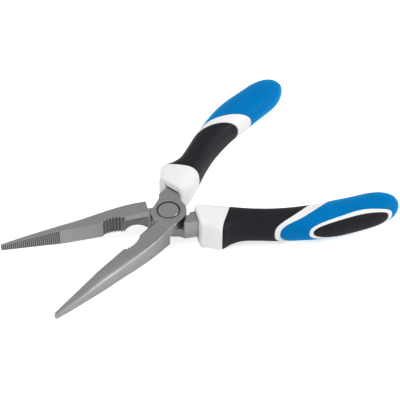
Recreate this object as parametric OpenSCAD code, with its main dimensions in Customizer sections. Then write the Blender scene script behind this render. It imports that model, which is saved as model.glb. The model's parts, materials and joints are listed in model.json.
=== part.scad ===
// Needle nose pliers with a side cutter and soft-faced handles, drawn part open.
//
// Both halves are described lying closed: the pivot is on the Z axis at the origin, the jaws point
// to -X, the handles point to +X and the closing plane is Y = 0. A half has its jaw on the -Y side,
// its handle on the +Y side and its joint plate on the +Z side. The lower half is the upper half
// turned over about X. Millimetres throughout.

/* [Overall] */
// Pivot to the tip of the jaws
jaw_reach = 85; // [75:1:95]
// Pivot to the end of the handles
handle_reach = 114.6; // [110:0.2:118]
// Angle between the two halves as drawn
opening = 36; // [0:1:58]

/* [Joint] */
// Thickness through the joint
joint_t = 11; // [10:0.5:12]
// Radius of the round plate on each half
plate_r = 9.1; // [8.5:0.1:9.3]
// Radius of the rivet shank
rivet_r = 4; // [3:0.1:4.2]
// Radius of the rivet heads
rivet_head_r = 6; // [5.8:0.1:6.4]
// Thickness of each rivet head
rivet_head_t = 1.2; // [0.8:0.1:2]
// Width of the ring groove at the rim of each rivet head
ring_w = 0.85; // [0.4:0.05:1]
// Running clearance between the moving faces
run_gap = 0.05; // [0.02:0.01:0.1]

/* [Jaws] */
// Length of the fine serrations, measured from the tip
serration_len = 29.6; // [20:0.2:32]
// Pitch of the fine serrations
serration_pitch = 1; // [0.8:0.1:1.5]
// Depth of the fine serrations
serration_depth = 0.35; // [0.2:0.05:0.5]
// Pivot to the far end of the pipe grip hollow
pipe_grip_far = 34; // [32:0.5:36]
// Pivot to the near end of the pipe grip hollow, where the cutter starts
pipe_grip_near = 21.8; // [21:0.2:23]
// Depth of the pipe grip hollow in each jaw
pipe_grip_depth = 1.5; // [1.2:0.1:2.5]
// Number of teeth in the pipe grip hollow
pipe_teeth = 7; // [5:1:9]
// Depth of the teeth in the pipe grip hollow
pipe_tooth_depth = 1; // [0.3:0.1:1]
// Height of the cutting edge above the mid plane
edge_height = 3.5; // [2.5:0.1:4]
// Width of the bevel above the cutting edge of the lower half
edge_bevel = 1.5; // [1:0.1:2]
// Width of the bevel above the land of the upper half
land_bevel = 0.85; // [0.4:0.05:1.2]
// Depth of the hollow ground under the cutting edge
relief_depth = 4.2; // [2:0.1:4.4]

/* [Handles] */
// Thickness of the soft grips over the hard core
grip_t = 1.8; // [1.4:0.1:2.2]
// Length over which the end of the handle rounds off
end_round = 15; // [12:1:20]
// Thickness of the steel tang inside the core
tang_t = 5; // [4:0.5:6]
// Pivot to the end of the tang
tang_reach = 92; // [80:1:96]
// Gap kept between pieces that are moulded or pressed together
seat_gap = 0.04; // [0.02:0.01:0.06]

/* [Palm inlay] */
// Pivot to the middle of the palm inlay
inlay_mid = 86.9; // [86:0.1:88]
// Height of the inlay's middle, on the upper half, above the mid plane
inlay_z = -0.6; // [-1:0.1:0]
// Half length of the rim around the inlay
rim_half_len = 22.2; // [20:0.1:23]
// Half width of the rim around the inlay
rim_half_w = 6.3; // [6:0.1:6.8]
// Half length of the soft inlay inside the rim
inlay_half_len = 20; // [18:0.1:20.5]
// Half width of the soft inlay inside the rim
inlay_half_w = 5.2; // [4.5:0.1:5.4]

/* [Hidden] */

half_t = joint_t / 2;
jaw_end = 9.6;            // the full thickness of a jaw stops here, clear of the other plate
face_gap = 0.02;          // each gripping face stands this far off the closing plane
rivet_gap = 0.05;         // radial running clearance of the rivet in the lower half
plate_flat_y = 7.9;       // pivot to the flat on the outer side of the joint plate
plate_flat_angle = 15.7;  // direction of that flat
land_z = 5;               // top of the land above the cutting edge of the upper half
neck_start = [5.3, 10.7]; // outer corner where the full-thickness neck begins
neck_inner_y = 4.1;       // inner side of the neck
neck_outer_y = 11.4;      // outer side of the neck at the collar
collar_x = 12.5;          // front face of the collar
neck_sink = 1.2;          // how far the neck runs into the collar
sink_gap = 0.35;          // open margin round the neck where it enters the collar
end_power = 2.3;          // roundness of the end of the handle
slice_t = 0.01;           // thickness of the slices that shells are hulled from
far = 60;                 // larger than any section of the tool

steel = "#8d8f90";
white = "#ecebe9";
black = "#26272b";
blue = "#0a7ccb";

// Jaw sections: distance from the pivot, width, half thickness, radius of the lower outer edge,
// then how far the upper outer edge is rounded across and down
jaw_stations = [
    [2, 9, half_t, 0.3, 0.15, 0.15],
    [jaw_end, 9, half_t, 0.3, 0.15, 0.15],
    [17, 9.35, 5.25, 0.6, 0.25, 0.25],
    [25, 9.35, 5, 1.2, 1.3, 1.3],
    [34, 8.8, 4.85, 2, 3, 2.6],
    [45, 7.45, 4.75, 2.6, 5.2, 3.2],
    [55, 6.3, 4.6, 2.6, 5.3, 3.5],
    [65, 5.1, 3.65, 2.2, 4.25, 2.7],
    [75, 3.7, 2.7, 1.6, 2.95, 1.9],
    [84, 2.25, 1.8, 1, 1.4, 1.2],
    [jaw_reach, 1.7, 1.4, 0.8, 0.9, 0.9]];

// Handle sections: distance from the pivot, inner side Y, outer side Y, half height, roundness
handle_stations = [
    [collar_x, 2.4, 16.9, 9.7, 6.5],
    [16, 2.1, 18.6, 9.5, 4.8],
    [21, 2.2, 23.1, 9.3, 3.5],
    [27, 3.8, 21.5, 9, 2.8],
    [33, 5.8, 21, 8.6, 2.5],
    [40, 8.2, 22.6, 8.4, 2.4],
    [50, 10.9, 25.5, 8.6, 2.3],
    [60, 12.3, 28, 8.5, 2.3],
    [70, 12.7, 30, 8.3, 2.3],
    [80, 12.1, 31, 7.9, 2.3],
    [90, 11.6, 30.6, 7.4, 2.3],
    [100, 11.3, 29.3, 7.3, 2.4],
    [115, 11.6, 27.2, 7.6, 2.4]];

// Where the handle is cut into slices; closer together at the flare and at the rounded end
handle_cuts = concat(
    [collar_x, 16, 18.5, 21, 24, 28, 33, 38, 44, 51, 58, 66, 74, 82, 90],
    [for (k = [0, 0.3, 0.55, 0.76, 0.9, 0.97, 0.998]) handle_reach - end_round * (1 - k)]);

// ---- Curves ----

// Slope of column c of table t at row i, from its neighbours
function slope(t, c, i) =
    let (a = max(i - 1, 0), b = min(i + 1, len(t) - 1))
    (t[b][c] - t[a][c]) / (t[b][0] - t[a][0]);

// Smooth value of column c at distance x: a cubic through the rows of the table
function smooth(t, c, x, i = 0) =
    (x > t[i + 1][0] && i < len(t) - 2) ? smooth(t, c, x, i + 1) :
    let (w = t[i + 1][0] - t[i][0], u = (x - t[i][0]) / w)
    (2 * u^3 - 3 * u^2 + 1) * t[i][c] + (u^3 - 2 * u^2 + u) * w * slope(t, c, i)
    + (3 * u^2 - 2 * u^3) * t[i + 1][c] + (u^3 - u^2) * w * slope(t, c, i + 1);

// Point on a cubic curve with the control points p
function bezier(p, u) =
    (1 - u)^3 * p[0] + 3 * u * (1 - u)^2 * p[1] + 3 * u^2 * (1 - u) * p[2] + u^3 * p[3];

function curve(p, steps = 8) = [for (i = [0 : steps]) bezier(p, i / steps)];

function power(v, e) = sign(v) * abs(v)^e;

// Closed superellipse with half sizes a and b and roundness n
function oval(a, b, n, steps) =
    [for (i = [0 : steps - 1]) let (t = 360 * i / steps)
        [a * power(cos(t), 2 / n), b * power(sin(t), 2 / n)]];

function middle_y(x) = (smooth(handle_stations, 1, x) + smooth(handle_stations, 2, x)) / 2;
function half_width(x) = (smooth(handle_stations, 2, x) - smooth(handle_stations, 1, x)) / 2;

// How much of the full section is left at distance x, 1 before the rounded end
function end_scale(x) =
    let (u = max(0, (x - handle_reach + end_round) / end_round)) (1 - min(1, u^end_power))^(1 / end_power);

// Dividing lines between the handle's materials, in plan, from the outer side to the inner side
collar_line = curve([[21, 27], [21.6, 17], [31.6, 11], [31.3, -2]]);
band_front_line = concat(
    [[47.1, 33]],
    curve([[47.1, 26.5], [47.1, 24.2], [50, 24.9], [56, 22.9]]),
    curve([[56, 22.9], [62, 21], [69, 16.8], [76, 8]]));
band_rear_line = concat(
    [[49.9, 33]],
    curve([[49.9, 26.2], [49.9, 25.3], [55, 25.6], [61, 24.6]]),
    curve([[61, 24.6], [66, 23.4], [77, 18], [85, 9]]));

// ---- Shared shapes ----

// A thin plate across X with the outline p, given as [Y, Z] points
module slice(x, p) {
    translate([x, 0, 0]) rotate([90, 0, 90]) linear_extrude(slice_t) polygon(p);
}

// A prism through the full height with the plan outline p
module plan(p) {
    linear_extrude(far, center = true) polygon(p);
}

module upper_place() {
    translate([0, 0, half_t]) rotate([0, 0, opening / 2]) children();
}

module lower_place() {
    translate([0, 0, half_t]) rotate([0, 0, -opening / 2]) rotate([180, 0, 0]) children();
}

// ---- Levers ----

// Section of the jaw: flat on the closing plane, rounded along its two outer edges
function jaw_section(w, h, r, across, down) = concat(
    [[0, -h], [0, h]],
    [for (t = [0 : 15 : 90])
        [across - w - across * sin(t), h - down + down * cos(t)]],
    [for (t = [90 : -22.5 : 0]) [r - w - r * sin(t), r - h - r * cos(t)]]);

// The jaw before it is cut, with its cutting edge and its fuller rounding on the side up
module jaw_blank(up) {
    scale([1, 1, up]) hull() for (s = jaw_stations)
        slice(-s[0], jaw_section(s[1], s[2], s[3], s[4], s[5]));
}

// Round plate with a flat on its outer side, and the half-thickness part of the neck
module joint_plate() {
    linear_extrude(half_t) {
        difference() {
            circle(plate_r, $fn = 96);
            rotate(plate_flat_angle) translate([-far, plate_flat_y]) square([2 * far, far]);
        }
        polygon([[3.1, 9.07], [4.9, 9.9], neck_start, [collar_x, neck_outer_y],
            [collar_x, 3.4], [9.2, -0.5], [0, -4]]);
    }
}

module neck_block() {
    translate([0, 0, -half_t]) linear_extrude(joint_t)
        polygon([neck_start, [collar_x + neck_sink, neck_outer_y],
            [collar_x + neck_sink, neck_inner_y], [10.1, neck_inner_y]]);
}

// Steel tang that runs down inside the core, larger by grow for its socket
module tang(grow = 0) {
    cuts = [for (x = [collar_x : 8 : tang_reach]) x];
    function half(x) = 3 - 1.2 * (x - collar_x) / (tang_reach - collar_x) + grow;
    function mid(x) = x < 20 ? 7.75 + (middle_y(20) - 7.75) * (x - collar_x) / (20 - collar_x)
        : middle_y(x);
    translate([0, 0, -tang_t / 2 - grow]) linear_extrude(tang_t + 2 * grow)
        polygon(concat(
            [[collar_x - 1, mid(collar_x) + half(collar_x)]],
            [for (x = cuts) [x, mid(x) + half(x)]],
            [[tang_reach + grow, middle_y(tang_reach) + half(tang_reach)]],
            [[tang_reach + grow, middle_y(tang_reach) - half(tang_reach)]],
            [for (i = [len(cuts) - 1 : -1 : 0]) [cuts[i], mid(cuts[i]) - half(cuts[i])]],
            [[collar_x - 1, mid(collar_x) - half(collar_x)]]));
}

// Everything on the far side of the half lap, between the jaw and the neck
module lap_cut() {
    translate([0, 0, -far]) linear_extrude(far + run_gap / 2)
        polygon([[-jaw_end, -far], [30, -far], [15.5, -3.3], [1.2, 16.3], [-jaw_end, far]]);
}

// Room beside the plate for the end of the other jaw
module closing_plane_cut() {
    translate([-far * 2, -face_gap, -far / 2]) cube([far * 2 - jaw_end, far, far]);
}

// Vee grooves across the gripping face, with the first groove at distance start
module grooves(start, count, pitch, depth) {
    for (i = [0 : count - 1]) let (x = -start - pitch * (i + 0.5))
        plan([[x - pitch * 0.42, 0.1], [x, -depth - face_gap], [x + pitch * 0.42, 0.1]]);
}

// Toothed hollow that holds round stock
module pipe_grip() {
    chord = pipe_grip_far - pipe_grip_near;
    radius = (chord^2 / 4 + pipe_grip_depth^2) / (2 * pipe_grip_depth);
    mid = -(pipe_grip_far + pipe_grip_near) / 2;
    reach = asin(chord / 2 / radius) - 6.5;
    translate([mid, radius - pipe_grip_depth, 0]) {
        cylinder(h = far, r = radius, center = true, $fn = 96);
        for (i = [0 : pipe_teeth - 1]) rotate([0, 0, -reach + 2 * reach * i / (pipe_teeth - 1)])
            plan([[-0.7, 0.5 - radius], [0, -radius - pipe_tooth_depth], [0.7, 0.5 - radius]]);
    }
}

// Side cutter: a bevel above and a ground hollow below the edge; side is the edge's side in Z.
// The bevel is bevel_w wide and starts at the height bevel_z.
module cutter(side, bevel_w, bevel_z) {
    mid = -16.5;
    drop = half_t + edge_height;
    half_chord = 6.4;
    plan_r = (half_chord^2 + relief_depth^2) / (2 * relief_depth);
    side_r = (drop^2 + relief_depth^2) / (2 * relief_depth);
    mirror([0, 0, side > 0 ? 0 : 1]) {
        translate([-pipe_grip_near, 0, 0]) rotate([90, 0, 90]) linear_extrude(pipe_grip_near - 9.2)
            polygon([[0.1, bevel_z - 0.1], [0.1, far / 2], [-bevel_w, far / 2],
                [-bevel_w, half_t - 0.05]]);
        intersection() {
            translate([mid, plan_r - relief_depth, 0])
                cylinder(h = far, r = plan_r, center = true, $fn = 96);
            translate([mid, side_r - relief_depth, -half_t]) rotate([0, 90, 0])
                cylinder(h = far, r = side_r, center = true, $fn = 96);
        }
    }
}

// Hole for the rivet and the recess for its head
module rivet_hole(gap) {
    cylinder(h = far, r = rivet_r + gap, center = true, $fn = 64);
    translate([0, 0, half_t - rivet_head_t - gap])
        cylinder(h = far, r = rivet_head_r + max(gap, seat_gap), $fn = 96);
}

// One forged half; edge_side is the side of the cutting edge, hole_gap the clearance on the rivet
module lever(edge_side, bevel_w, bevel_z, hole_gap) {
    difference() {
        union() {
            difference() {
                jaw_blank(edge_side);
                closing_plane_cut();
            }
            joint_plate();
            neck_block();
            tang();
        }
        lap_cut();
        rivet_hole(hole_gap);
        grooves(jaw_reach - serration_len, round(serration_len / serration_pitch),
            serration_pitch, serration_depth);
        pipe_grip();
        cutter(edge_side, bevel_w, bevel_z);
    }
}

module pivot_rivet() {
    color(steel) upper_place() difference() {
        union() {
            cylinder(h = joint_t, r = rivet_r, center = true, $fn = 64);
            for (m = [0, 1]) mirror([0, 0, m]) translate([0, 0, half_t - rivet_head_t])
                cylinder(h = rivet_head_t, r = rivet_head_r, $fn = 96);
        }
        for (m = [0, 1]) mirror([0, 0, m]) translate([0, 0, half_t - 0.35]) difference() {
            cylinder(h = 1, r = rivet_head_r + 1, $fn = 96);
            translate([0, 0, -1]) cylinder(h = 3, r = rivet_head_r - ring_w, $fn = 96);
        }
    }
}

// ---- Handles ----

// Section of the handle at distance x, drawn in by inset all round
function handle_section(x, inset) =
    let (s = end_scale(x), m = middle_y(x))
    [for (p = oval(half_width(x) * s - inset, smooth(handle_stations, 3, x) * s - inset,
        smooth(handle_stations, 4, x), 28)) [m + p[0], p[1]]];

// The whole handle as one body, hulled from neighbouring sections
module handle_body(inset = 0) {
    cuts = [for (x = handle_cuts) if (half_width(x) * end_scale(x) > inset + 0.6) x];
    for (i = [0 : len(cuts) - 2]) hull() {
        slice(cuts[i], handle_section(cuts[i], inset));
        slice(cuts[i + 1], handle_section(cuts[i + 1], inset));
    }
}

// The layer between the core and the outer surface
module soft_layer() {
    difference() {
        handle_body();
        handle_body(grip_t);
    }
}

function moved(p, dx) = [for (q = p) [q[0] + dx, q[1]]];
function reversed(p) = [for (i = [len(p) - 1 : -1 : 0]) p[i]];

// Plan prism between two dividing lines, drawn in by inset at both
module between(front, rear, inset) {
    plan(concat(moved(front, inset), reversed(moved(rear, -inset))));
}

front_limit = [[collar_x - 5, far], [collar_x - 5, -far]];
rear_limit = [[handle_reach + 10, far], [handle_reach + 10, -far]];

// Oval area on the outer side of the handle
module outer_area(half_len, half_w, roundness) {
    translate([inlay_mid, far, inlay_z]) rotate([90, 0, 0]) linear_extrude(far - 21)
        polygon(oval(half_len, half_w, roundness, 40));
}

module handle_core() {
    difference() {
        union() {
            handle_body(grip_t + seat_gap);
            intersection() {
                handle_body();
                union() {
                    between(front_limit, collar_line, 0);
                    between(band_front_line, band_rear_line, 0);
                    difference() {
                        outer_area(rim_half_len, rim_half_w, 2.7);
                        outer_area(inlay_half_len, inlay_half_w, 2.3);
                    }
                }
            }
        }
        tang(seat_gap);
        translate([collar_x - 1, neck_inner_y - sink_gap, -half_t - sink_gap])
            cube([neck_sink + 1 + seat_gap, neck_outer_y - neck_inner_y + 2 * sink_gap,
                joint_t + 2 * sink_gap]);
    }
}

module front_grip() {
    intersection() {
        soft_layer();
        between(collar_line, band_front_line, seat_gap);
    }
}

module rear_grip() {
    difference() {
        intersection() {
            soft_layer();
            between(band_rear_line, rear_limit, seat_gap);
        }
        outer_area(rim_half_len + seat_gap, rim_half_w + seat_gap, 2.7);
    }
}

module palm_inlay() {
    intersection() {
        soft_layer();
        outer_area(inlay_half_len - seat_gap, inlay_half_w - seat_gap, 2.3);
    }
}

// ---- Nodes ----

module upper_lever() { color(steel) upper_place() lever(1, land_bevel, land_z, 0); }
module upper_handle_core() { color(white) upper_place() handle_core(); }
module upper_front_grip() { color(black) upper_place() front_grip(); }
module upper_rear_grip() { color(blue) upper_place() rear_grip(); }
module upper_palm_inlay() { color(black) upper_place() palm_inlay(); }

module lower_lever() {
    color(steel) lower_place() lever(-1, edge_bevel, edge_height, rivet_gap);
}
module lower_handle_core() { color(white) lower_place() handle_core(); }
module lower_front_grip() { color(black) lower_place() front_grip(); }
module lower_rear_grip() { color(blue) lower_place() rear_grip(); }
module lower_palm_inlay() { color(black) lower_place() palm_inlay(); }

upper_lever();
lower_lever();
pivot_rivet();
upper_handle_core();
upper_front_grip();
upper_rear_grip();
upper_palm_inlay();
lower_handle_core();
lower_front_grip();
lower_rear_grip();
lower_palm_inlay();
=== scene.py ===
"""Looks for the needle nose pliers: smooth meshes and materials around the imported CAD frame.

Each half is worked out in millimetres in its own closed frame, as the CAD does it: the pivot is on
Z at the origin, the jaw points to -X on the -Y side, the handle points to +X on the +Y side and the
closing plane is Y = 0. place() then turns a half to where the CAD has it, in metres.
"""

import json
import math

import bmesh
import bpy
import numpy as np
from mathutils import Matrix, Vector


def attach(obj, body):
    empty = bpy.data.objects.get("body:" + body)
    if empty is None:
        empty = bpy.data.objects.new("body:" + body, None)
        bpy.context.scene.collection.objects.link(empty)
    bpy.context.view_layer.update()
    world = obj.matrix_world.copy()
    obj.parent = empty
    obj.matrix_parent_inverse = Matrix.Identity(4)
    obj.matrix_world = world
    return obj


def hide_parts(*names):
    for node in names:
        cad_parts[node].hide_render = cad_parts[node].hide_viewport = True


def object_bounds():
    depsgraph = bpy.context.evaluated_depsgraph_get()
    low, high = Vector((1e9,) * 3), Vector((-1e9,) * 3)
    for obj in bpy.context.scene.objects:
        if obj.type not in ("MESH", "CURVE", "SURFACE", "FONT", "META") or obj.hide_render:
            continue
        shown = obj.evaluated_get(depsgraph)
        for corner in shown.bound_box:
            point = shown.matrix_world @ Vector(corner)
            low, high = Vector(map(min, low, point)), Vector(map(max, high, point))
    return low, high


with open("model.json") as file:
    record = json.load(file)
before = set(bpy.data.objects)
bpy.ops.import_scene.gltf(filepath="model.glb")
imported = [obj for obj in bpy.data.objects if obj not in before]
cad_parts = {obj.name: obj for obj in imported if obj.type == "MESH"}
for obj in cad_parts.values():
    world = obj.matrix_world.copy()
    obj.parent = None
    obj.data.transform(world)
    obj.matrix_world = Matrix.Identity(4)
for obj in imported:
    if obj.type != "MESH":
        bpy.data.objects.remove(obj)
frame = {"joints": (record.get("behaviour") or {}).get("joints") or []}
cad_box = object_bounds()

MM = 0.001
HALF_OPENING = math.radians(frame["joints"][0]["range_deg"][1] / 2)

# Overall; FAR is beyond everything
JAW_REACH = 85.0
HANDLE_REACH = 114.6
HALF_T = 5.5
PLATE_R = 9.1
PLATE_ROUND = 0.18
FAR = 60.0
SHARP_ANGLE = math.radians(32)

# Jaw
JAW_END = 9.6
FACE_GAP = 0.02
SERRATIONS = 30
SERRATION_PITCH = 1.0
SERRATION_DEPTH = 0.35
SERRATION_START = JAW_REACH - 0.6 - (SERRATIONS - 1) * SERRATION_PITCH
PIPE_FAR = 34.0
PIPE_NEAR = 21.8
PIPE_DEPTH = 1.5
PIPE_TEETH = 7
PIPE_PITCH = 1.6
PIPE_TOOTH_DEPTH = 1.0
PIPE_TEETH_START = (PIPE_FAR + PIPE_NEAR - PIPE_TEETH * PIPE_PITCH) / 2
EDGE_HEIGHT = 3.5
RELIEF_DEPTH = 4.2
RELIEF_MID = 16.5
RELIEF_HALF = 6.4
CUTTER_END = 9.2
EDGE_BREAK = 0.16

# Bevel above the cutting edge: its width, and the height at which it starts
LOWER_BEVEL = (1.4, 3.5)
UPPER_BEVEL = (0.85, 5.0)

# Joint
RUN_GAP = 0.05
RIVET_R = 4.0
RIVET_HEAD_R = 6.0
RIVET_HEAD_T = 1.2
RING_W = 0.85
RING_DEPTH = 0.4

# Handle. The neck is given by its inner and outer side. The end is rounded over a slightly longer
# stretch than the CAD's, whose straight-sided slices fall a little inside their own curve.
COLLAR_X = 12.5
COLLAR_ROUND = 0.8
NECK = (4.1, 11.45)
NECK_SINK = 1.2
SOCKET_GAP = 0.35
SOCKET_MID = (NECK[0] + NECK[1]) / 2
SOCKET_HALF = ((NECK[1] - NECK[0]) / 2 + SOCKET_GAP, HALF_T + SOCKET_GAP)
END_ROUND = 16.0
END_POWER = 2.3
GRIP_T = 1.8
SEAT_GAP = 0.04
COLUMNS = 120

# Palm inlay: its middle, then half length and half height of its rim and of the inlay
INLAY_MID = 86.9
INLAY_Z = -0.6
RIM_HALF = (22.2, 6.3)
INLAY_HALF = (20.0, 5.2)
POCKET_DEPTH = 1.0
RIM_T = 0.95
INLAY_T = 0.92
INLAY_COLUMNS = 160

# Surroundings: the darker side of the sky, the light level opposite it and on it, then the
# floor's own glow and how much is added where the camera sees the floor itself
DARK_SIDE = (0.384, 0.599, 0.702)
WORLD_LIGHT = (1.02, 0.6)
FLOOR_GLOW = (0.14, 0.5)
FLOOR_SIDE = 6.0

# Camera, in metres, with a lens for a sensor 36 mm wide
CAMERA_PLACE = (-0.34572, -0.56869, 0.67478)
CAMERA_AIM = (0.02009, 0.00214, 0.0055)
CAMERA_LENS = 169.43

# Jaw sections: distance from the pivot, width, half thickness, lower outer edge radius,
# then how far the upper outer edge is rounded across and down
JAW = [
    (5.0, 8.95, 5.48, 0.3, 0.15, 0.15),
    (9.6, 9.0, 5.48, 0.3, 0.15, 0.15),
    (17.0, 9.35, 5.25, 0.6, 0.25, 0.25),
    (25.0, 9.35, 5.0, 1.2, 1.3, 1.3),
    (34.0, 8.8, 4.85, 2.0, 3.0, 2.6),
    (45.0, 7.45, 4.75, 2.6, 5.2, 3.2),
    (55.0, 6.3, 4.6, 2.6, 5.3, 3.5),
    (65.0, 5.1, 3.65, 2.2, 4.25, 2.7),
    (75.0, 3.7, 2.7, 1.6, 2.95, 1.9),
    (85.0, 2.0, 1.7, 0.9, 1.25, 1.1),
]

# Handle sections: distance from the pivot, inner side Y, outer side Y, half height, roundness
HANDLE = [
    (12.5, 2.4, 16.9, 9.7, 6.5),
    (16, 2.1, 18.6, 9.5, 4.8),
    (21, 2.2, 23.1, 9.3, 3.5),
    (27, 3.8, 21.5, 9.0, 2.8),
    (33, 5.8, 21.0, 8.6, 2.5),
    (40, 8.2, 22.6, 8.4, 2.4),
    (50, 10.9, 25.5, 8.6, 2.3),
    (60, 12.3, 28, 8.5, 2.3),
    (70, 12.7, 30, 8.3, 2.3),
    (80, 12.1, 31, 7.9, 2.3),
    (90, 11.6, 30.6, 7.4, 2.3),
    (100, 11.3, 29.3, 7.3, 2.4),
    (115, 11.6, 27.2, 7.6, 2.4),
]


# ---- Curves ----


def smooth(table, column, x):
    """Cubic through one column of a table whose first column is distance."""
    table = np.asarray(table, float)
    at = table[:, 0]
    value = table[:, column]
    row = np.arange(len(at))
    before = np.maximum(row - 1, 0)
    after = np.minimum(row + 1, len(at) - 1)
    slope = (value[after] - value[before]) / (at[after] - at[before])
    x = np.clip(x, at[0], at[-1])
    i = np.clip(np.searchsorted(at, x, side="right") - 1, 0, len(at) - 2)
    width = at[i + 1] - at[i]
    u = (x - at[i]) / width
    start = (2 * u**3 - 3 * u**2 + 1) * value[i] + (u**3 - 2 * u**2 + u) * width * slope[i]
    end = (3 * u**2 - 2 * u**3) * value[i + 1] + (u**3 - u**2) * width * slope[i + 1]
    return start + end


def bezier(points, steps=24):
    """Points along a cubic curve."""
    a, b, c, d = np.asarray(points, float)
    u = np.linspace(0, 1, steps + 1)[:, None]
    return (1 - u) ** 3 * a + 3 * u * (1 - u) ** 2 * b + 3 * u**2 * (1 - u) * c + u**3 * d


def arc(radius, start, end, steps):
    """Points on a circle about the pivot, between two angles in degrees."""
    angle = np.radians(np.linspace(start, end, steps + 1))
    return np.stack([radius * np.cos(angle), radius * np.sin(angle)], -1)


def round_box(angle, power):
    """Point of a superellipse with half sizes of 1, at an angle."""
    c = np.cos(angle)
    s = np.sin(angle)
    reach = (np.abs(c) ** power + np.abs(s) ** power) ** (-1 / power)
    return reach * c, reach * s


# Dividing lines between the handle's materials in plan, from the outer side to the inner side
COLLAR_LINE = bezier([(21, 27), (21.6, 17), (31.6, 11), (31.3, -2)])
BAND_FRONT_LINE = np.vstack(
    [
        [(47.1, 33)],
        bezier([(47.1, 26.5), (47.1, 24.2), (50, 24.9), (56, 22.9)]),
        bezier([(56, 22.9), (62, 21), (69, 16.8), (76, 8)])[1:],
    ]
)
BAND_REAR_LINE = np.vstack(
    [
        [(49.9, 33)],
        bezier([(49.9, 26.2), (49.9, 25.3), (55, 25.6), (61, 24.6)]),
        bezier([(61, 24.6), (66, 23.4), (77, 18), (85, 9)])[1:],
    ]
)


# ---- Meshes ----


def strip(below, above, columns):
    """Faces between two rings of points, given the number each ring starts at."""
    faces = []
    for c in range(columns):
        d = (c + 1) % columns
        faces.append((below + c, below + d, above + d, above + c))
    return faces


def fan(ring, columns, centre):
    """Faces that close a ring of points onto a centre point."""
    return [(ring + c, ring + (c + 1) % columns, centre) for c in range(columns)]


def tube(rows, closed=False):
    """Vertices and faces of a tube through rings of points, closed at its ends or onto itself."""
    rows = np.asarray(rows, float)
    count, columns = rows.shape[:2]
    points = list(rows.reshape(-1, 3))
    faces = []
    for r in range(count if closed else count - 1):
        faces += strip(r * columns, (r + 1) % count * columns, columns)
    if not closed:
        for r in (0, count - 1):
            faces += fan(r * columns, columns, len(points))
            points.append(rows[r].mean(0))
    return points, faces


def prism(outline, low, high, rounding=0.0):
    """Upright block with a plan outline, and rounded top and bottom edges."""
    outline = np.asarray(outline, float)
    along = np.roll(outline, -1, 0) - np.roll(outline, 1, 0)
    inward = np.stack([-along[:, 1], along[:, 0]], -1)
    inward /= np.linalg.norm(inward, axis=1)[:, None]
    levels = [(low, 0.0), (high, 0.0)]
    if rounding:
        turns = np.radians([0, 30, 60, 90])
        bottom = [(low + rounding * (1 - math.sin(t)), rounding * (1 - math.cos(t))) for t in turns]
        top = [(high - z + low, inset) for z, inset in bottom]
        levels = bottom[::-1] + top
    rings = []
    for z, inset in levels:
        flat = outline + inward * inset
        rings.append(np.column_stack([flat, np.full(len(flat), z)]))
    columns = len(outline)
    points = list(np.vstack(rings))
    last = (len(rings) - 1) * columns
    faces = [tuple(range(columns))[::-1], tuple(range(last, last + columns))]
    for r in range(len(rings) - 1):
        faces += strip(r * columns, (r + 1) * columns, columns)
    return points, faces


def lathe(profile, columns=96):
    """Solid turned about the pivot axis from (radius, z) points that start and end at the axis."""
    angle = np.linspace(0, 2 * math.pi, columns, endpoint=False)
    rings = [
        np.stack([r * np.cos(angle), r * np.sin(angle), np.full(columns, z)], -1)
        for r, z in profile
    ]
    return tube(rings)


def joined(parts):
    """Several meshes as one."""
    points = []
    faces = []
    for part_points, part_faces in parts:
        base = len(points)
        points += list(part_points)
        faces += [tuple(base + i for i in face) for face in part_faces]
    return points, faces


def mesh_object(name, part):
    """A linked object from vertices and faces, with its normals outwards."""
    points, faces = part
    mesh = bpy.data.meshes.new(name)
    mesh.from_pydata([tuple(p) for p in points], [], faces)
    work = bmesh.new()
    work.from_mesh(mesh)
    bmesh.ops.recalc_face_normals(work, faces=work.faces)
    work.to_mesh(mesh)
    work.free()
    obj = bpy.data.objects.new(name, mesh)
    bpy.context.scene.collection.objects.link(obj)
    return obj


def combine(obj, tool_part, operation):
    """Applies a boolean with a second mesh to an object."""
    tool = mesh_object("tool", tool_part)
    modifier = obj.modifiers.new("boolean", "BOOLEAN")
    modifier.operation = operation
    modifier.solver = "EXACT"
    modifier.object = tool
    bpy.context.view_layer.update()
    graph = bpy.context.evaluated_depsgraph_get()
    result = bpy.data.meshes.new_from_object(obj.evaluated_get(graph))
    obj.modifiers.clear()
    old = obj.data
    obj.data = result
    bpy.data.meshes.remove(old)
    bpy.data.objects.remove(tool)


def place(points, upper):
    """Moves points in mm from a half's own closed frame to the tool's frame, in metres."""
    points = np.array(points, float)
    if not upper:
        points *= (1, -1, -1)
    angle = HALF_OPENING if upper else -HALF_OPENING
    c = math.cos(angle)
    s = math.sin(angle)
    x = c * points[:, 0] - s * points[:, 1]
    y = s * points[:, 0] + c * points[:, 1]
    return np.stack([x, y, points[:, 2] + HALF_T], -1) * MM


def coordinates(obj):
    """Positions of an object's vertices."""
    flat = np.empty(len(obj.data.vertices) * 3)
    obj.data.vertices.foreach_get("co", flat)
    return flat.reshape(-1, 3)


def settle(obj, node, upper, material, residue_and_shade=None):
    """Records a piece's own-frame positions for its material, places it and hands it to the frame."""
    mesh = obj.data
    own = coordinates(obj)
    attribute = mesh.attributes.new("own", "FLOAT_VECTOR", "POINT")
    attribute.data.foreach_set("vector", own.ravel())
    # The stored mask darkens the material: dark residue in the serrations, painted shade at the
    # cutter, the pipe teeth and the neck's socket
    darkening = np.zeros(len(own)) if residue_and_shade is None else residue_and_shade(own)
    mesh.attributes.new("residue_and_shade", "FLOAT", "POINT").data.foreach_set("value", darkening)
    mesh.vertices.foreach_set("co", place(own, upper).ravel())
    mesh.shade_smooth()
    mesh.set_sharp_from_angle(angle=SHARP_ANGLE)
    mesh.materials.clear()
    mesh.materials.append(material)
    mesh.update()
    obj.name = node + "_skin"
    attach(obj, "upper_half" if upper else "lower_half")
    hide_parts(node)


# ---- Levers ----


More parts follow.
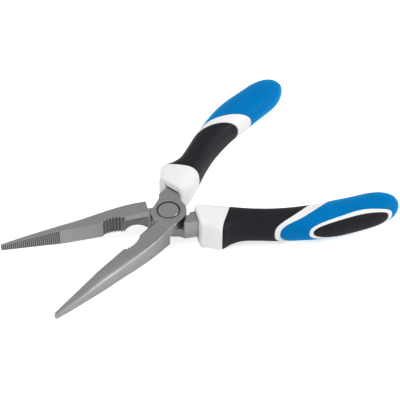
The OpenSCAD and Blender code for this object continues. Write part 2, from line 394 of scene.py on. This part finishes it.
def pipe_hollow(s):
    """Depth of the plain hollow of the pipe grip at distance s."""
    half = (PIPE_FAR - PIPE_NEAR) / 2
    radius = (half**2 + PIPE_DEPTH**2) / (2 * PIPE_DEPTH)
    off = s - (PIPE_FAR + PIPE_NEAR) / 2
    return np.sqrt(np.maximum(radius**2 - off**2, 0)) - (radius - PIPE_DEPTH)


def notch(phase, width):
    """Vee of depth 1 in the middle of a pitch, with a land either side."""
    return np.maximum(0, 1 - np.abs(phase - 0.5) / (width / 2))


def relief(s, z):
    """Depth of the hollow ground under the cutting edge."""
    plan_r = (RELIEF_HALF**2 + RELIEF_DEPTH**2) / (2 * RELIEF_DEPTH)
    drop = HALF_T + EDGE_HEIGHT
    side_r = (drop**2 + RELIEF_DEPTH**2) / (2 * RELIEF_DEPTH)
    in_plan = math.sqrt(max(plan_r**2 - (s - RELIEF_MID) ** 2, 0)) - (plan_r - RELIEF_DEPTH)
    in_side = np.sqrt(np.maximum(side_r**2 - (z + HALF_T) ** 2, 0)) - (side_r - RELIEF_DEPTH)
    return np.minimum(in_plan, in_side)


def bevel_start(upper, half):
    """Height at which the bevel above the cutting edge starts, for a jaw's half thickness."""
    return min((UPPER_BEVEL if upper else LOWER_BEVEL)[1], half - 0.5)


def face_depth(s, z, half, upper):
    """Depth of the gripping face below the closing plane; z counts up towards the cutting edge."""
    depth = np.zeros(z.shape)
    if s > SERRATION_START:
        depth += SERRATION_DEPTH * notch((s - SERRATION_START) / SERRATION_PITCH % 1, 0.84)
    if PIPE_NEAR < s < PIPE_FAR:
        depth += max(0, pipe_hollow(s))
    if PIPE_TEETH_START < s < PIPE_TEETH_START + PIPE_TEETH * PIPE_PITCH:
        depth += PIPE_TOOTH_DEPTH * notch((s - PIPE_TEETH_START) / PIPE_PITCH % 1, 0.9)
    if CUTTER_END < s < PIPE_NEAR:
        width = (UPPER_BEVEL if upper else LOWER_BEVEL)[0]
        start = bevel_start(upper, half)
        depth = np.maximum(depth, width * (z - start) / (half - start))
    return np.maximum(depth, relief(s, z)) + FACE_GAP


def repeats(start, count, pitch, phases):
    """Distances of the same phases within each of several pitches."""
    return [start + (k + phase) * pitch for k in range(count) for phase in phases]


def jaw_distances():
    """Where the jaw is cut into sections, closest where the face has teeth."""
    fine = repeats(SERRATION_START, SERRATIONS, SERRATION_PITCH, (0.08, 0.5, 0.92))
    plain = list(np.linspace(PIPE_FAR + 0.01, SERRATION_START - 0.02, 18))
    teeth = repeats(PIPE_TEETH_START, PIPE_TEETH, PIPE_PITCH, (0.0, 0.05, 0.5, 0.95))
    hollow = [PIPE_FAR - 0.01, PIPE_TEETH_START + PIPE_TEETH * PIPE_PITCH, PIPE_NEAR + 0.01]
    cutter = [PIPE_NEAR - 0.01] + list(np.arange(PIPE_NEAR - 0.4, CUTTER_END + 0.2, -0.4))
    joint = [CUTTER_END + 0.01, CUTTER_END - 0.01, 8.6]
    every = np.array([JAW_REACH] + fine + plain + teeth + hollow + cutter + joint)
    return sorted(set(np.round(every[every <= JAW_REACH], 4)), reverse=True)


def jaw_section(s, upper):
    """Closed ring of points round the jaw at distance s."""
    width = float(smooth(JAW, 1, s))
    half = float(smooth(JAW, 2, s))
    radius = float(smooth(JAW, 3, s))
    across = float(smooth(JAW, 4, s))
    down = float(smooth(JAW, 5, s))
    z = np.array([-1, -0.85, -0.7, -0.5, -0.3, -0.1, 0.1, 0.25, 0.4, 0.52, 0.64, 0.8, 1])
    z *= half - EDGE_BREAK
    z[10] = EDGE_HEIGHT * min(half / 5, 1)
    if upper:
        z[11] = bevel_start(upper, half)
    face = [(-d, h) for d, h in zip(face_depth(s, z, half, upper), z)]
    top = face[-1][0] - EDGE_BREAK
    bottom = face[0][0] - EDGE_BREAK
    top_end = min(across - width, top - 0.2)
    across = top_end + width
    ring = face + [(y, half) for y in np.linspace(top, top_end, 5)[:-1]]
    turns = np.radians(np.linspace(0, 90, 11))
    ring += [(top_end - across * math.sin(t), half - down * (1 - math.cos(t))) for t in turns]
    ring += [(-width, h) for h in np.linspace(half - down, radius - half, 5)[1:-1]]
    for t in turns:
        ring.append((radius * (1 - math.cos(t)) - width, radius * (1 - math.sin(t)) - half))
    ring += [(y, -half) for y in np.linspace(radius - width, bottom, 5)[1:]]
    side = 1 if upper else -1
    return np.array([(-s, y, h * side) for y, h in ring])


def jaw_part(upper):
    """The jaw from its tip to just inside the joint."""
    rings = [jaw_section(s, upper) for s in jaw_distances()]
    middle = rings[0].mean(0)
    tip = []
    for back, left in ((0.0, 0.72), (0.05, 0.86), (0.15, 0.95)):
        ring = middle + (rings[0] - middle) * left
        ring[:, 0] = back - JAW_REACH
        tip.append(ring)
    rings[0][:, 0] += 0.3
    return tube(tip + [r for r in rings if r[0, 0] >= 0.3 - JAW_REACH])


def plate_outline():
    """Plan of the joint plate and neck, anticlockwise."""
    neck_end = COLLAR_X + NECK_SINK
    return np.vstack(
        [
            [(-10.2, -3.0), (-10.2, -9.03), (-5, -9.08)],
            arc(PLATE_R, -94, -1, 40),
            [(9.6, 0.35), (12.9, NECK[0]), (neck_end, NECK[0])],
            [(neck_end, NECK[1]), (5.6, 11.05), (5.1, 10.6), (4.4, 9.9), (3.1, 9.07)],
            arc(PLATE_R, 135, 178, 18),
            [(-9.15, -0.05), (-9.15, -2.0)],
        ]
    )


def lap_outline():
    """Plan of the room that the other half's plate turns in."""
    corner = [(30, -FAR), (30, NECK[0]), (10.1, NECK[0]), (1.2, 16.3)]
    return [(-JAW_END, -FAR)] + corner + [(-JAW_END, FAR)]


def lever_residue_and_shade(own, upper):
    """Dark residue in the serrations, and painted shade at the pipe teeth and the cutter, all on the
    inner face.
    """
    s = -own[:, 0]
    depth = -own[:, 1]
    up = own[:, 2] if upper else -own[:, 2]
    half = smooth(JAW, 2, s)
    inner = (np.abs(up) < half - 0.1) & (depth > 0) & (depth < RELIEF_DEPTH + 0.3)
    fine = np.clip(depth / SERRATION_DEPTH, 0, 1) * (s > 55) * (depth < 0.6)
    # Painted shade: a slight darkening at the bottoms of the pipe teeth
    teeth = np.clip((depth - pipe_hollow(s) - 0.15) / PIPE_TOOTH_DEPTH, 0, 1)
    teeth *= (s > PIPE_NEAR) & (s < PIPE_FAR)
    cutter = (s > CUTTER_END - 0.6) & (s < PIPE_NEAR + 0.6)
    # Painted shade: the bevel above the upper half's cutting edge is darkened fully
    bevel = (up > half - 0.55) & (depth < UPPER_BEVEL[0] + 0.1) & upper
    # Painted shade in the hollow under the cutting edge, darker the deeper it goes
    scoop = np.clip(depth / 1.5, 0, 1) * (up < EDGE_HEIGHT + 0.1)
    return np.maximum(np.maximum(fine, teeth * 0.1), (bevel + scoop * 0.3) * cutter) * inner


def rivet_room():
    """Running room for the rivet's shank and its head."""
    shank = RIVET_R + RUN_GAP
    head = RIVET_HEAD_R + RUN_GAP
    floor = HALF_T - RIVET_HEAD_T - RUN_GAP
    return lathe([(0, -FAR), (shank, -FAR), (shank, floor), (head, floor), (head, FAR), (0, FAR)])


def build_lever(upper):
    """One forged half: its jaw, joint plate and neck."""
    node = "upper_lever" if upper else "lower_lever"
    obj = mesh_object(node, jaw_part(upper))
    combine(obj, prism(plate_outline(), -HALF_T, HALF_T, PLATE_ROUND), "UNION")
    combine(obj, prism(lap_outline(), -FAR, RUN_GAP / 2), "DIFFERENCE")
    combine(obj, rivet_room(), "DIFFERENCE")
    settle(obj, node, upper, STEEL, lambda own: lever_residue_and_shade(own, upper))


def rivet_ring_darkening(own):
    """Darkening in the ring groove of each head."""
    radius = np.hypot(own[:, 0], own[:, 1])
    in_ring = radius > RIVET_HEAD_R - RING_W + 0.02
    in_head = np.abs(own[:, 2]) > HALF_T - RIVET_HEAD_T
    return (in_ring & in_head) * 1.0


def build_rivet():
    """The rivet, with a head at either end."""
    top = HALF_T
    head = RIVET_HEAD_R - RING_W
    half = [
        (0.01, top),
        (2.5, top),
        (head - 0.4, top),
        (head - 0.12, top - 0.03),
        (head, top - 0.14),
        (head + 0.03, top - RING_DEPTH),
        (RIVET_HEAD_R, top - RING_DEPTH),
        (RIVET_HEAD_R, top - RIVET_HEAD_T),
        (RIVET_R, top - RIVET_HEAD_T),
    ]
    obj = mesh_object("pivot_rivet", lathe(half + [(r, -z) for r, z in half[::-1]]))
    settle(obj, "pivot_rivet", True, STEEL, rivet_ring_darkening)


# ---- Handles ----


def handle_frame(x):
    """Middle Y, half width, half height and roundness of the handle at distance x."""
    u = np.clip((x - HANDLE_REACH + END_ROUND) / END_ROUND, 0, 1)
    left = np.maximum(1 - u**END_POWER, 1e-6) ** (1 / END_POWER)
    inner, outer, height, power = (smooth(HANDLE, column, x) for column in (1, 2, 3, 4))
    return (inner + outer) / 2, (outer - inner) / 2 * left, height * left, power


def skin(x, angle):
    """Points on the handle's surface at distance x and an angle round from its outer side."""
    middle, width, height, power = handle_frame(x)
    y, z = round_box(angle, power)
    return np.stack([x + 0 * angle, middle + width * y, height * z], -1)


def skin_level(points):
    """1 on the handle's surface, less inside it."""
    middle, width, height, power = handle_frame(points[..., 0])
    y = np.abs((points[..., 1] - middle) / width)
    z = np.abs(points[..., 2] / height)
    return (y**power + z**power) ** (1 / power)


def skin_normal(points):
    """Outward direction of the handle's surface."""
    step = 0.02
    slope = [skin_level(points + step * axis) - skin_level(points - step * axis) for axis in np.eye(3)]
    normal = np.stack(slope, -1)
    return normal / np.linalg.norm(normal, axis=-1)[..., None]


def sunk(x, angle, depth):
    """Points a depth below the handle's surface."""
    points = skin(x, angle)
    return points - skin_normal(points) * np.asarray(depth)[..., None]


def divide(line, angle):
    """Distance at which the surface at an angle crosses a dividing line."""
    low = np.full(angle.shape, COLLAR_X + 0.1)
    high = np.full(angle.shape, HANDLE_REACH - 2)
    for _ in range(40):
        x = (low + high) / 2
        y = skin(x, angle)[..., 1]
        beyond = x > np.interp(y, line[::-1, 1], line[::-1, 0])
        high = np.where(beyond, x, high)
        low = np.where(beyond, low, x)
    return x


# Angles at which the handle's rings are worked out
AROUND = np.linspace(0, 2 * math.pi, COLUMNS, endpoint=False)


def edge_rows(line, direction, profile):
    """Rows beside a dividing line, as (distances, angles, depth), for (offset, depth) pairs.

    Offsets run along the surface, away from the line: towards the end of the handle if direction
    is 1, towards the jaws if it is -1.
    """
    x = divide(line, AROUND)
    points = skin(x, AROUND)
    along = np.roll(points, -1, 0) - np.roll(points, 1, 0)
    across = np.cross(skin_normal(points), along)
    across /= np.linalg.norm(across, axis=1)[:, None]
    across *= direction * np.sign(across[:, 0].mean())
    rows = []
    for offset, depth in profile:
        moved = points + across * offset
        middle, width, height, _ = handle_frame(moved[:, 0])
        angle = np.arctan2(moved[:, 2] / height, (moved[:, 1] - middle) / width)
        turn = (angle - AROUND + math.pi) % (2 * math.pi) - math.pi
        rows.append((moved[:, 0], AROUND + turn, depth))
    return rows


def between_rows(first, last, count, depth=0.0):
    """Rows spread evenly between two rows, without the two themselves."""
    rows = []
    for u in np.arange(1, count) / count:
        x = first[0] + (last[0] - first[0]) * u
        angle = first[1] + (last[1] - first[1]) * u
        rows.append((x, angle, depth))
    return rows


def surface(rows, dent=None):
    """Rings of points from rows, pressed in further by dent(points) if given."""
    rings = []
    for x, angle, depth in rows:
        depth = np.broadcast_to(np.asarray(depth, float), AROUND.shape)
        if dent is not None:
            depth = depth + dent(skin(x, angle))
        rings.append(sunk(x, angle, depth))
    return rings


def ring_at(x):
    """Distances and angles of a plain ring."""
    return (np.full(COLUMNS, float(x)), AROUND)


# Edges of the white parts and of the grips beside a dividing line, as (offset, depth)
WHITE_EDGE = [
    (0.0, GRIP_T), (0.0, 0.3), (0.06, 0.08), (0.18, -0.06), (0.4, -0.12), (0.7, -0.1), (1.1, 0.0),
]
GRIP_EDGE = [
    (0.05, GRIP_T - SEAT_GAP), (0.05, 0.5), (0.1, 0.28), (0.24, 0.1), (0.45, 0.02), (0.8, 0.0),
]


def end_rows(depth, count):
    """Rows that round off the end of the handle."""
    rows = []
    for turn in np.linspace(0, math.radians(87.5), count):
        ahead = END_ROUND * math.sin(turn) ** (2 / END_POWER)
        rows.append((*ring_at(HANDLE_REACH - END_ROUND + ahead), depth))
    return rows


def rim_rows():
    """Rows that round off the front of the collar."""
    rows = []
    for turn in np.radians(np.linspace(0, 90, 7)):
        behind = COLLAR_ROUND * (1 - math.cos(turn))
        rows.append((*ring_at(COLLAR_X + behind), COLLAR_ROUND * (1 - math.sin(turn))))
    return rows


def collar_front():
    """Rings over the front of the collar, from the socket round the neck to its rounded rim."""
    y, z = round_box(AROUND, 7)
    y = SOCKET_MID + SOCKET_HALF[0] * y
    mouth = np.stack([np.full(COLUMNS, COLLAR_X), y, SOCKET_HALF[1] * z], -1)
    lip = sunk(*ring_at(COLLAR_X), np.full(COLUMNS, COLLAR_ROUND))
    lip[:, 0] = COLLAR_X
    return [mouth + (NECK_SINK, 0, 0)] + [mouth + (lip - mouth) * u for u in (0.0, 0.05, 0.5)]


def core_socket_shade(own):
    """Painted shadow in the gap round the neck."""
    across = np.abs(own[:, 1] - SOCKET_MID) < SOCKET_HALF[0] + 0.02
    upright = np.abs(own[:, 2]) < SOCKET_HALF[1] + 0.02
    front = own[:, 0] < COLLAR_X + NECK_SINK + 0.02
    return (across & upright & front) * 1.0


def core_part():
    """The hard core: collar, the part under the front grip, the band, the part under the rear grip."""
    rim = rim_rows()
    collar_edge = edge_rows(COLLAR_LINE, -1, WHITE_EDGE)[::-1]
    collar = rim + between_rows(rim[-1], collar_edge[0], 14) + collar_edge
    front_edge = edge_rows(BAND_FRONT_LINE, 1, WHITE_EDGE)
    rear_edge = edge_rows(BAND_REAR_LINE, -1, WHITE_EDGE)[::-1]
    under_front = between_rows(collar_edge[-1], front_edge[0], 16, GRIP_T)
    band = front_edge + between_rows(front_edge[-1], rear_edge[0], 3, 0.04) + rear_edge
    ends = end_rows(GRIP_T, 16)
    under_rear = between_rows(rear_edge[-1], ends[0], 12, GRIP_T) + ends
    return tube(collar_front() + surface(collar + under_front + band + under_rear))


def front_grip_part():
    """The front grip, a sleeve open at both ends."""
    first = edge_rows(COLLAR_LINE, 1, GRIP_EDGE)
    last = edge_rows(BAND_FRONT_LINE, -1, GRIP_EDGE)[::-1]
    outer = first + between_rows(first[-1], last[0], 40) + last
    inner = [(x, angle, GRIP_T - SEAT_GAP) for x, angle, _ in outer[1:-1][::-3]]
    return tube(surface(outer + inner), closed=True)


def oval(theta, q):
    """Side view of the inlay's outline at q = 0, of its rim's at q = 1, and between them."""
    length = INLAY_HALF[0] + (RIM_HALF[0] - INLAY_HALF[0]) * q
    height = INLAY_HALF[1] + (RIM_HALF[1] - INLAY_HALF[1]) * q
    x, z = round_box(theta, 2.35 + 0.35 * np.maximum(np.cos(theta), q))
    return INLAY_MID + length * x, INLAY_Z + height * z


def outer_side(x, z, depth):
    """Points on the outer side of the handle at a distance and a height, sunk by a depth."""
    middle, width, height, power = handle_frame(x)
    y = middle + width * (1 - np.minimum(np.abs(z / height), 0.999) ** power) ** (1 / power)
    points = np.stack([x, y, z], -1)
    return points - skin_normal(points) * depth


def pocket(points):
    """Depth of the pocket that the rim and the inlay sit in."""
    along = (points[:, 0] - INLAY_MID) / (INLAY_HALF[0] + 1.2)
    up = (points[:, 2] - INLAY_Z) / (INLAY_HALF[1] + 0.6)
    level = (np.abs(along) ** 2.6 + np.abs(up) ** 2.6) ** (1 / 2.6)
    middle = handle_frame(points[:, 0])[0]
    wall = np.clip((1 - level) / 0.06 + 0.5, 0, 1)
    return wall * (points[:, 1] > middle) * POCKET_DEPTH


def rear_grip_part():
    """The rear grip, a shell open at the front and closed at the back."""
    first = edge_rows(BAND_REAR_LINE, 1, GRIP_EDGE)
    ends = end_rows(0.0, 30)
    outer = first + between_rows(first[-1], ends[0], 56) + ends
    inner = [(x, angle, GRIP_T - SEAT_GAP) for x, angle, _ in outer[1:][::-2]]
    rings = surface(outer, pocket) + surface(inner)
    points, faces = tube(rings, closed=True)
    back = (len(outer) - 1) * COLUMNS
    faces = faces[:back] + faces[back + COLUMNS :]
    for ring in (back, back + COLUMNS):
        faces += fan(ring, COLUMNS, len(points))
        points.append(np.mean(points[ring : ring + COLUMNS], axis=0))
    return points, faces


# Section of the rim, as (place between the inlay and the outer edge, depth)
RIM_PROFILE = [
    (0.0, RIM_T), (0.0, 0.3), (0.04, 0.1), (0.14, -0.06), (0.3, -0.1), (0.5, -0.04),
    (0.7, -0.1), (0.86, -0.06), (0.96, 0.1), (1.0, 0.3), (1.0, RIM_T),
]

# Angles at which the inlay and its rim are worked out
ROUND_INLAY = np.linspace(0, 2 * math.pi, INLAY_COLUMNS, endpoint=False)


def rim_part():
    """The raised oval rim round the inlay."""
    rings = [outer_side(*oval(ROUND_INLAY, q), depth) for q, depth in RIM_PROFILE]
    return tube(rings, closed=True)


def inlay_part():
    """The inlay, from the middle of its face, round its edge, to the middle of its back."""
    x, z = oval(ROUND_INLAY, 0.0)
    rings = []
    top = [(0.02, 0.0)] + [(u, 0.0) for u in np.linspace(0.08, 0.92, 14)]
    edge = [(0.96, 0.03), (0.98, 0.14), (0.99, 0.35)]
    under = [(left, INLAY_T) for left in (0.99, 0.7, 0.4, 0.02)]
    for left, depth in top + edge + under:
        along = INLAY_MID + (x - INLAY_MID) * left
        rings.append(outer_side(along, INLAY_Z + (z - INLAY_Z) * left, depth))
    return tube(rings)


def build_handle(upper):
    """The four mouldings on one tang."""
    half = "upper" if upper else "lower"
    core = mesh_object("core", joined([core_part(), rim_part()]))
    settle(core, half + "_handle_core", upper, WHITE, core_socket_shade)
    front = mesh_object("front", front_grip_part())
    settle(front, half + "_front_grip", upper, BLACK)
    rear = mesh_object("rear", rear_grip_part())
    settle(rear, half + "_rear_grip", upper, BLUE)
    inlay = mesh_object("inlay", inlay_part())
    settle(inlay, half + "_palm_inlay", upper, BLACK)


# ---- Materials ----


class Shader:
    """A material's node tree, with short calls to add and join nodes."""

    def __init__(self, name):
        self.material = bpy.data.materials.new(name)
        self.material.use_nodes = True
        self.tree = self.material.node_tree
        self.tree.nodes.clear()
        self.surface = self.add("ShaderNodeBsdfPrincipled")
        output = self.add("ShaderNodeOutputMaterial")
        self.join(self.surface, "BSDF", output, "Surface")

    def add(self, kind, **settings):
        """A new node, with some of its properties set."""
        node = self.tree.nodes.new(kind)
        for key, value in settings.items():
            setattr(node, key, value)
        return node

    def join(self, source, output, target, socket):
        """Links an output of one node to a socket of another."""
        self.tree.links.new(source.outputs[output], target.inputs[socket])

    def attribute(self, name):
        """A node that reads one of the mesh's own attributes."""
        return self.add("ShaderNodeAttribute", attribute_name=name)

    def noise(self, scale, stretch=(1, 1, 1), detail=3.0):
        """Noise in a half's own frame; scale is features per millimetre."""
        mapping = self.add("ShaderNodeMapping")
        mapping.inputs["Scale"].default_value = stretch
        self.join(self.attribute("own"), "Vector", mapping, "Vector")
        noise = self.add("ShaderNodeTexNoise")
        noise.inputs["Scale"].default_value = scale
        noise.inputs["Detail"].default_value = detail
        self.join(mapping, "Vector", noise, "Vector")
        return noise

    def ramp(self, source, output, low, high):
        """Maps the middle half of 0..1, where noise mostly lies, onto low..high."""
        node = self.add("ShaderNodeMapRange")
        node.inputs["From Min"].default_value = 0.25
        node.inputs["From Max"].default_value = 0.75
        node.inputs["To Min"].default_value = low
        node.inputs["To Max"].default_value = high
        self.join(source, output, node, "Value")
        return node

    def mix(self, source, output, first, second):
        """Colour between first and second, each a colour or a mix node."""
        node = self.add("ShaderNodeMix", data_type="RGBA")
        for socket, value in ((6, first), (7, second)):
            if isinstance(value, tuple):
                node.inputs[socket].default_value = (*value, 1)
            else:
                self.tree.links.new(value.outputs[2], node.inputs[socket])
        self.tree.links.new(source.outputs[output], node.inputs[0])
        return node

    def bump(self, source, distance, strength=1.0, under=None):
        """Adds relief of a height in millimetres."""
        node = self.add("ShaderNodeBump")
        node.inputs["Distance"].default_value = distance * MM
        node.inputs["Strength"].default_value = strength
        self.join(source, "Fac", node, "Height")
        if under is not None:
            self.join(under, "Normal", node, "Normal")
        return node

    def colour(self, node):
        """Uses a mix node as the base colour."""
        self.tree.links.new(node.outputs[2], self.surface.inputs["Base Color"])


def steel():
    """Forged steel with a satin ground finish, darkened where the stored mask is set: dark residue in
    the serrations, painted shade at the cutter and the pipe teeth, and darkening in the rivet's ring
    groove.
    """
    shader = Shader("forged_steel")
    patches = shader.noise(0.12, detail=4)
    streaks = shader.noise(2.2, (0.12, 1, 1), detail=5)
    grain = shader.noise(7.0, detail=2)
    tone = shader.ramp(patches, "Fac", 0.2, 0.8)
    base = shader.mix(tone, "Result", (0.355, 0.355, 0.35), (0.40, 0.40, 0.40))
    lines = shader.ramp(streaks, "Fac", 0.0, 0.35)
    ground = shader.mix(lines, "Result", base, (0.31, 0.308, 0.302))
    # Dark brown where the stored mask is set: residue in the serrations, painted shade at the cutter
    # and the pipe teeth
    darkening = shader.attribute("residue_and_shade")
    shader.colour(shader.mix(darkening, "Fac", ground, (0.09, 0.08, 0.07)))
    shader.surface.inputs["Metallic"].default_value = 1.0
    rough = shader.ramp(streaks, "Fac", 0.3, 0.4)
    shader.join(rough, "Result", shader.surface, "Roughness")
    fine = shader.bump(grain, 0.01, 0.5)
    shader.join(shader.bump(streaks, 0.012, 0.6, fine), "Normal", shader.surface, "Normal")
    return shader.material


def moulded(name, low, high, edge, roughness, relief_height, grain_scale, level):
    """Moulded plastic or rubber: slightly uneven colour, a painted sheen that lightens it where seen
    edge on, fine grain.
    """
    shader = Shader(name)
    patches = shader.noise(0.1, detail=3)
    grain = shader.noise(grain_scale, detail=2)
    plain = shader.mix(shader.ramp(patches, "Fac", 0, 1), "Result", low, high)
    # Painted sheen: the colour turns to the edge colour where the surface is seen edge on
    ground = shader.mix(shader.add("ShaderNodeLayerWeight"), "Fresnel", plain, edge)
    # Painted shadow where the stored mask is set, which on these mouldings is only the gap round the
    # neck
    shader.colour(shader.mix(shader.attribute("residue_and_shade"), "Fac", ground, (0.03, 0.028, 0.025)))
    shader.surface.inputs["Specular IOR Level"].default_value = level
    rough = shader.ramp(grain, "Fac", roughness - 0.05, roughness + 0.05)
    shader.join(rough, "Result", shader.surface, "Roughness")
    wave = shader.bump(shader.noise(0.35, detail=1), 0.05, 0.5)
    shader.join(shader.bump(grain, relief_height, 0.6, wave), "Normal", shader.surface, "Normal")
    return shader.material


STEEL = steel()
WHITE = moulded(
    "white_core",
    low=(0.79, 0.78, 0.765),
    high=(0.84, 0.835, 0.825),
    # Colour of the painted sheen where seen edge on
    edge=(0.84, 0.835, 0.825),
    roughness=0.32,
    relief_height=0.008,
    grain_scale=4.0,
    level=0.4,
)
BLACK = moulded(
    "black_grip",
    low=(0.0065, 0.0068, 0.0095),
    high=(0.0095, 0.01, 0.0135),
    # Colour of the painted sheen where seen edge on
    edge=(0.03, 0.033, 0.038),
    roughness=0.5,
    relief_height=0.03,
    grain_scale=3.5,
    level=0.15,
)
BLUE = moulded(
    "blue_grip",
    low=(0, 0.1, 0.355),
    high=(0, 0.115, 0.4),
    # Colour of the painted sheen where seen edge on
    edge=(0, 0.6, 1),
    roughness=0.42,
    relief_height=0.02,
    grain_scale=4.0,
    level=0.03,
)


# ---- Stage ----


def floor_material():
    """Pale floor that glows a little, and more where the camera sees it."""
    shader = Shader("pale_floor")
    patches = shader.add("ShaderNodeTexNoise")
    patches.inputs["Scale"].default_value = 3.0
    shader.colour(shader.mix(patches, "Fac", (0.84, 0.84, 0.84), (0.86, 0.86, 0.86)))
    shader.surface.inputs["Roughness"].default_value = 0.9
    shader.surface.inputs["Specular IOR Level"].default_value = 0.0
    shader.surface.inputs["Emission Color"].default_value = (1, 1, 1, 1)
    seen = shader.add("ShaderNodeLightPath")
    glow = shader.add("ShaderNodeMath", operation="MULTIPLY_ADD")
    glow.inputs[1].default_value = FLOOR_GLOW[1]
    glow.inputs[2].default_value = FLOOR_GLOW[0]
    shader.join(seen, "Is Camera Ray", glow, 0)
    shader.join(glow, "Value", shader.surface, "Emission Strength")
    return shader.material


def build_floor():
    """A wide floor that the tool lies on."""
    low = cad_box[0][2]
    mesh = bpy.data.meshes.new("floor")
    signs = ((-1, -1), (1, -1), (1, 1), (-1, 1))
    corners = [(across * FLOOR_SIDE, along * FLOOR_SIDE, low) for across, along in signs]
    mesh.from_pydata(corners, [], [(0, 1, 2, 3)])
    mesh.materials.append(floor_material())
    floor = bpy.data.objects.new("floor", mesh)
    bpy.context.scene.collection.objects.link(floor)


def aim(place_from, target):
    """Rotation that points a lamp or a camera from one place at another."""
    return (Vector(target) - Vector(place_from)).to_track_quat("-Z", "Y").to_euler()


def area_light(name, location, target, size, power):
    """A rectangular lamp aimed at a point."""
    data = bpy.data.lights.new(name, "AREA")
    data.shape = "RECTANGLE"
    data.size = size[0]
    data.size_y = size[1]
    data.energy = power
    light = bpy.data.objects.new(name, data)
    light.location = location
    light.rotation_euler = aim(location, target)
    bpy.context.scene.collection.objects.link(light)


def build_world():
    """Soft surroundings, a little darker overhead behind the tool than in front of it."""
    world = bpy.data.worlds.new("studio")
    world.use_nodes = True
    tree = world.node_tree
    tree.nodes["Background"].inputs["Color"].default_value = (1, 1, 1, 1)
    place_in_sky = tree.nodes.new("ShaderNodeTexCoord")
    towards = tree.nodes.new("ShaderNodeVectorMath")
    towards.operation = "DOT_PRODUCT"
    towards.inputs[1].default_value = DARK_SIDE
    level = tree.nodes.new("ShaderNodeMapRange")
    level.inputs["From Min"].default_value = -1
    level.inputs["From Max"].default_value = 1
    level.inputs["To Min"].default_value = WORLD_LIGHT[0]
    level.inputs["To Max"].default_value = WORLD_LIGHT[1]
    tree.links.new(place_in_sky.outputs["Generated"], towards.inputs[0])
    tree.links.new(towards.outputs["Value"], level.inputs["Value"])
    tree.links.new(level.outputs["Result"], tree.nodes["Background"].inputs["Strength"])
    bpy.context.scene.world = world


def build_camera():
    """The camera, above the jaws and to their near side."""
    data = bpy.data.cameras.new("camera")
    data.lens = CAMERA_LENS
    data.sensor_width = 36
    camera = bpy.data.objects.new("camera", data)
    camera.location = CAMERA_PLACE
    camera.rotation_euler = aim(CAMERA_PLACE, CAMERA_AIM)
    bpy.context.scene.collection.objects.link(camera)
    bpy.context.scene.camera = camera


build_lever(True)
build_lever(False)
build_rivet()
build_handle(True)
build_handle(False)
build_floor()
build_world()
area_light("key", (-0.45, 0.25, 0.8), (0, 0, 0), (0.5, 0.5), 2.5)
area_light("fill", (0.66, -0.46, 0.41), (0, 0, 0), (0.26, 0.26), 3.0)
build_camera()
bpy.context.scene.view_settings.view_transform = "Standard"
